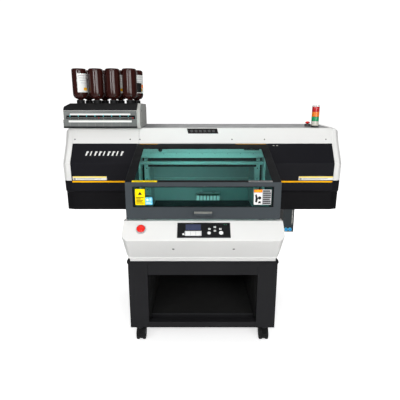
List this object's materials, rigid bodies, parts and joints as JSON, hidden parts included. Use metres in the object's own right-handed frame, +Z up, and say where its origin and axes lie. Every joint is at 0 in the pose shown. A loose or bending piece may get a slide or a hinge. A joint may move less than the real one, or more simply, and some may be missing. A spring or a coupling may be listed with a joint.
{
  "type": "flatbed uv printer",
  "caption": "Flatbed UV printer: wide gantry over a sliding bed, hinged tinted hood, sloped key console, ink bottles and signal tower on top, on a wheeled stand.",
  "frame": {"origin": "on the floor, below the middle of the machine's box", "axes": "+X to the machine's right as an operator in front sees it, along the gantry; +Y to the rear; +Z up"},
  "size_m": [1.665, 1.29, 1.572],
  "materials": {
    "stand_charcoal": "fine textured powder coat",
    "caster_plastic": "moulded satin",
    "caster_rubber": "matt",
    "housing_white": "smooth satin paint",
    "cover_white": "moulded, satin paint",
    "panel_black": "satin paint",
    "shell_grey": "satin paint",
    "bed_steel": "machined, satin",
    "table_black": "black anodised, polished",
    "carriage_black": "satin",
    "station_grey": "satin",
    "hood_slate": "satin paint",
    "tinted_acrylic": "clear, tinted green, glossy",
    "ink_unit_grey": "satin moulded plastic",
    "tray_black": "moulded",
    "bottle_brown": "glossy, dark brown",
    "signal_lens": "glossy ribbed lens",
    "stop_red": "glossy",
    "keypad_black": "satin film",
    "key_white": "matt",
    "tank_dark": "moulded"
  },
  "bodies": {
    "base": {"stand_top": "stand_charcoal", "stand_left_side": "stand_charcoal", "stand_right_side": "stand_charcoal", "stand_shelf": "stand_charcoal", "base_tray": "housing_white", "base_housing": "housing_white", "rear_hood": "cover_white", "front_console": "cover_white", "left_end_cap": "cover_white", "right_end_cap": "cover_white", "left_top_cover": "cover_white", "centre_top_cover": "cover_white", "left_front_panel": "panel_black", "right_front_panel": "panel_black", "left_lower_cover": "panel_black", "right_lower_cover": "panel_black", "gantry_shell": "shell_grey", "bed_frame": "bed_steel", "gantry_frame": "bed_steel", "capping_station": "station_grey", "ink_unit": "ink_unit_grey", "bottle_tray": "tray_black", "ink_bottle_1": "bottle_brown", "ink_bottle_2": "bottle_brown", "ink_bottle_3": "bottle_brown", "ink_bottle_4": "bottle_brown", "ink_bottle_5": "bottle_brown", "ink_bottle_6": "bottle_brown", "ink_bottle_7": "bottle_brown", "ink_bottle_8": "bottle_brown", "signal_tower": "signal_lens", "operation_panel": "keypad_black"},
    "hood": {"hood_frame": "hood_slate", "hood_front_window": "tinted_acrylic", "hood_top_window": "tinted_acrylic"},
    "saddle": {"table_saddle": "bed_steel"},
    "lift_stage": {"lift_stage": "bed_steel"},
    "table": {"print_table": "table_black"},
    "carriage": {"print_carriage": "carriage_black"},
    "console_stop": {"console_stop_button": "stop_red"},
    "top_stop": {"top_stop_button": "stop_red"},
    "waste_tank": {"waste_tank": "tank_dark"},
    "caster_front_left": {"caster_fork_front_left": "caster_plastic"},
    "wheels_front_left": {"caster_wheels_front_left": "caster_rubber"},
    "caster_front_right": {"caster_fork_front_right": "caster_plastic"},
    "wheels_front_right": {"caster_wheels_front_right": "caster_rubber"},
    "caster_rear_left": {"caster_fork_rear_left": "caster_plastic"},
    "wheels_rear_left": {"caster_wheels_rear_left": "caster_rubber"},
    "caster_rear_right": {"caster_fork_rear_right": "caster_plastic"},
    "wheels_rear_right": {"caster_wheels_rear_right": "caster_rubber"},
    "key_small_round": {"key_small_round": "key_white"},
    "key_round_left": {"key_round_left": "key_white"},
    "key_round_right": {"key_round_right": "key_white"},
    "key_up": {"key_up": "key_white"},
    "key_left": {"key_left": "key_white"},
    "key_right": {"key_right": "key_white"},
    "key_down": {"key_down": "key_white"},
    "key_function_1": {"key_function_1": "key_white"},
    "key_function_2": {"key_function_2": "key_white"},
    "key_function_3": {"key_function_3": "key_white"}
  },
  "joints": [
    {"name": "hood_hinge", "type": "hinge", "parent": "base", "child": "hood", "pos_m": [0, -0.106, 1.136], "axis": [-1, 0, 0], "range_deg": [0, 80]},
    {"name": "bed_slide", "type": "slide", "parent": "base", "child": "saddle", "axis": [0, 1, 0], "range_m": [0, 0.45]},
    {"name": "stage_lift", "type": "slide", "parent": "saddle", "child": "lift_stage", "axis": [0, 0, 1], "range_m": [0, 0.075]},
    {"name": "table_lift", "type": "slide", "parent": "lift_stage", "child": "table", "axis": [0, 0, 1], "range_m": [0, 0.075]},
    {"name": "carriage_slide", "type": "slide", "parent": "base", "child": "carriage", "axis": [-1, 0, 0], "range_m": [0, 1.2]},
    {"name": "console_stop_press", "type": "slide", "parent": "base", "child": "console_stop", "axis": [0, 0.5838, -0.8119], "range_m": [0, 0.004], "stiffness_N_per_m": 1500},
    {"name": "top_stop_press", "type": "slide", "parent": "base", "child": "top_stop", "axis": [0, 0, -1], "range_m": [0, 0.003], "stiffness_N_per_m": 1500},
    {"name": "waste_tank_slide", "type": "slide", "parent": "base", "child": "waste_tank", "axis": [0, -1, 0], "range_m": [0, 0.2]},
    {"name": "swivel_front_left", "type": "hinge", "parent": "base", "child": "caster_front_left", "pos_m": [-0.363, -0.415, 0.1], "axis": [0, 0, 1], "continuous": true},
    {"name": "roll_front_left", "type": "hinge", "parent": "caster_front_left", "child": "wheels_front_left", "pos_m": [-0.363, -0.393, 0.042], "axis": [1, 0, 0], "continuous": true},
    {"name": "swivel_front_right", "type": "hinge", "parent": "base", "child": "caster_front_right", "pos_m": [0.363, -0.415, 0.1], "axis": [0, 0, 1], "continuous": true},
    {"name": "roll_front_right", "type": "hinge", "parent": "caster_front_right", "child": "wheels_front_right", "pos_m": [0.363, -0.393, 0.042], "axis": [1, 0, 0], "continuous": true},
    {"name": "swivel_rear_left", "type": "hinge", "parent": "base", "child": "caster_rear_left", "pos_m": [-0.363, 0.37, 0.1], "axis": [0, 0, 1], "continuous": true},
    {"name": "roll_rear_left", "type": "hinge", "parent": "caster_rear_left", "child": "wheels_rear_left", "pos_m": [-0.363, 0.392, 0.042], "axis": [1, 0, 0], "continuous": true},
    {"name": "swivel_rear_right", "type": "hinge", "parent": "base", "child": "caster_rear_right", "pos_m": [0.363, 0.37, 0.1], "axis": [0, 0, 1], "continuous": true},
    {"name": "roll_rear_right", "type": "hinge", "parent": "caster_rear_right", "child": "wheels_rear_right", "pos_m": [0.363, 0.392, 0.042], "axis": [1, 0, 0], "continuous": true},
    {"name": "key_small_round_press", "type": "slide", "parent": "base", "child": "key_small_round", "axis": [0, 0.5838, -0.8119], "range_m": [0, 0.001], "stiffness_N_per_m": 400},
    {"name": "key_round_left_press", "type": "slide", "parent": "base", "child": "key_round_left", "axis": [0, 0.5838, -0.8119], "range_m": [0, 0.001], "stiffness_N_per_m": 400},
    {"name": "key_round_right_press", "type": "slide", "parent": "base", "child": "key_round_right", "axis": [0, 0.5838, -0.8119], "range_m": [0, 0.001], "stiffness_N_per_m": 400},
    {"name": "key_up_press", "type": "slide", "parent": "base", "child": "key_up", "axis": [0, 0.5838, -0.8119], "range_m": [0, 0.001], "stiffness_N_per_m": 400},
    {"name": "key_left_press", "type": "slide", "parent": "base", "child": "key_left", "axis": [0, 0.5838, -0.8119], "range_m": [0, 0.001], "stiffness_N_per_m": 400},
    {"name": "key_right_press", "type": "slide", "parent": "base", "child": "key_right", "axis": [0, 0.5838, -0.8119], "range_m": [0, 0.001], "stiffness_N_per_m": 400},
    {"name": "key_down_press", "type": "slide", "parent": "base", "child": "key_down", "axis": [0, 0.5838, -0.8119], "range_m": [0, 0.001], "stiffness_N_per_m": 400},
    {"name": "key_function_1_press", "type": "slide", "parent": "base", "child": "key_function_1", "axis": [0, 0.5838, -0.8119], "range_m": [0, 0.001], "stiffness_N_per_m": 400},
    {"name": "key_function_2_press", "type": "slide", "parent": "base", "child": "key_function_2", "axis": [0, 0.5838, -0.8119], "range_m": [0, 0.001], "stiffness_N_per_m": 400},
    {"name": "key_function_3_press", "type": "slide", "parent": "base", "child": "key_function_3", "axis": [0, 0.5838, -0.8119], "range_m": [0, 0.001], "stiffness_N_per_m": 400}
  ],
  "couplings": [
    {"joint": "table_lift", "follows": "stage_lift", "ratio": 1}
  ]
}
